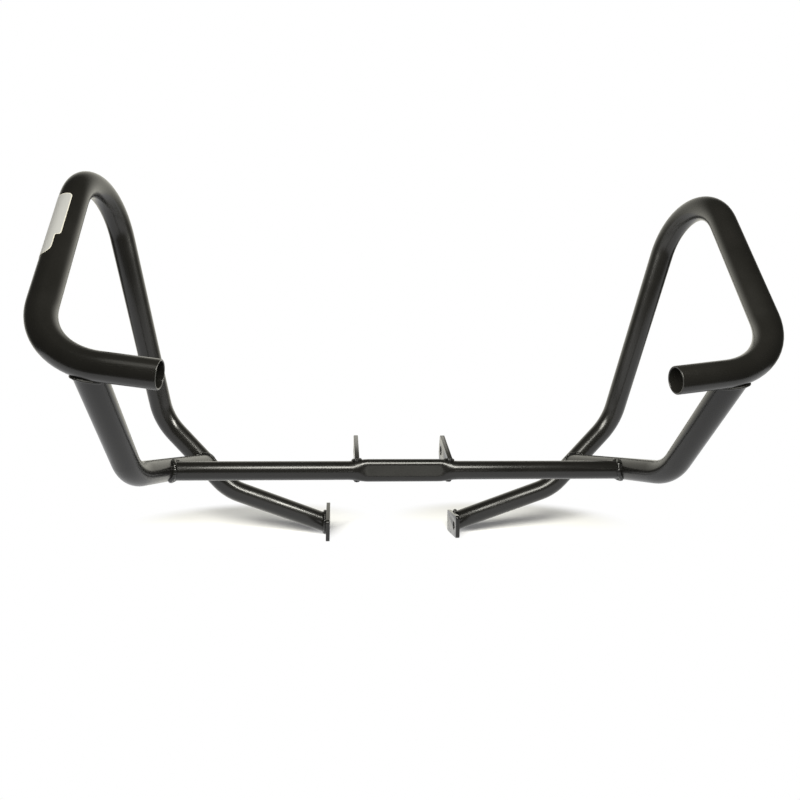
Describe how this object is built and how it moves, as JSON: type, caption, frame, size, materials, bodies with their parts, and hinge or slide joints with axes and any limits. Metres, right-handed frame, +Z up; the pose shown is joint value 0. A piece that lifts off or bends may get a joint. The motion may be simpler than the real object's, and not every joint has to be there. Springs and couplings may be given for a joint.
{
  "type": "motorcycle crash bars",
  "caption": "Bent-tube motorcycle crash bars: side hoops with struts, joined by a cross tube that carries bolt tabs, with drilled foot plates at the lower ends.",
  "frame": {"origin": "middle of the bolt line through the two upper tabs", "axes": "+X along the bolt line to the right as seen from the front, +Y to the rear, +Z up"},
  "size_m": [0.7954, 0.4728, 0.4821],
  "materials": {
    "painted_tube": "satin black powder coat",
    "painted_plate": "satin black powder coat on cut plate",
    "painted_weld": "black powder coat, glossier on the weld beads"
  },
  "bodies": {
    "root": {"cross_tube": "painted_tube", "left_hoop_tube": "painted_tube", "right_hoop_tube": "painted_tube", "left_strut_tube": "painted_tube", "right_strut_tube": "painted_tube", "left_tab": "painted_plate", "right_tab": "painted_plate", "left_foot_plate": "painted_plate", "right_foot_plate": "painted_plate", "left_strut_top_weld": "painted_weld", "right_strut_top_weld": "painted_weld", "left_strut_rear_weld": "painted_weld", "right_strut_rear_weld": "painted_weld", "left_cross_tube_weld": "painted_weld", "right_cross_tube_weld": "painted_weld", "left_tab_weld": "painted_weld", "right_tab_weld": "painted_weld", "left_foot_plate_weld": "painted_weld", "right_foot_plate_weld": "painted_weld"}
  },
  "joints": []
}
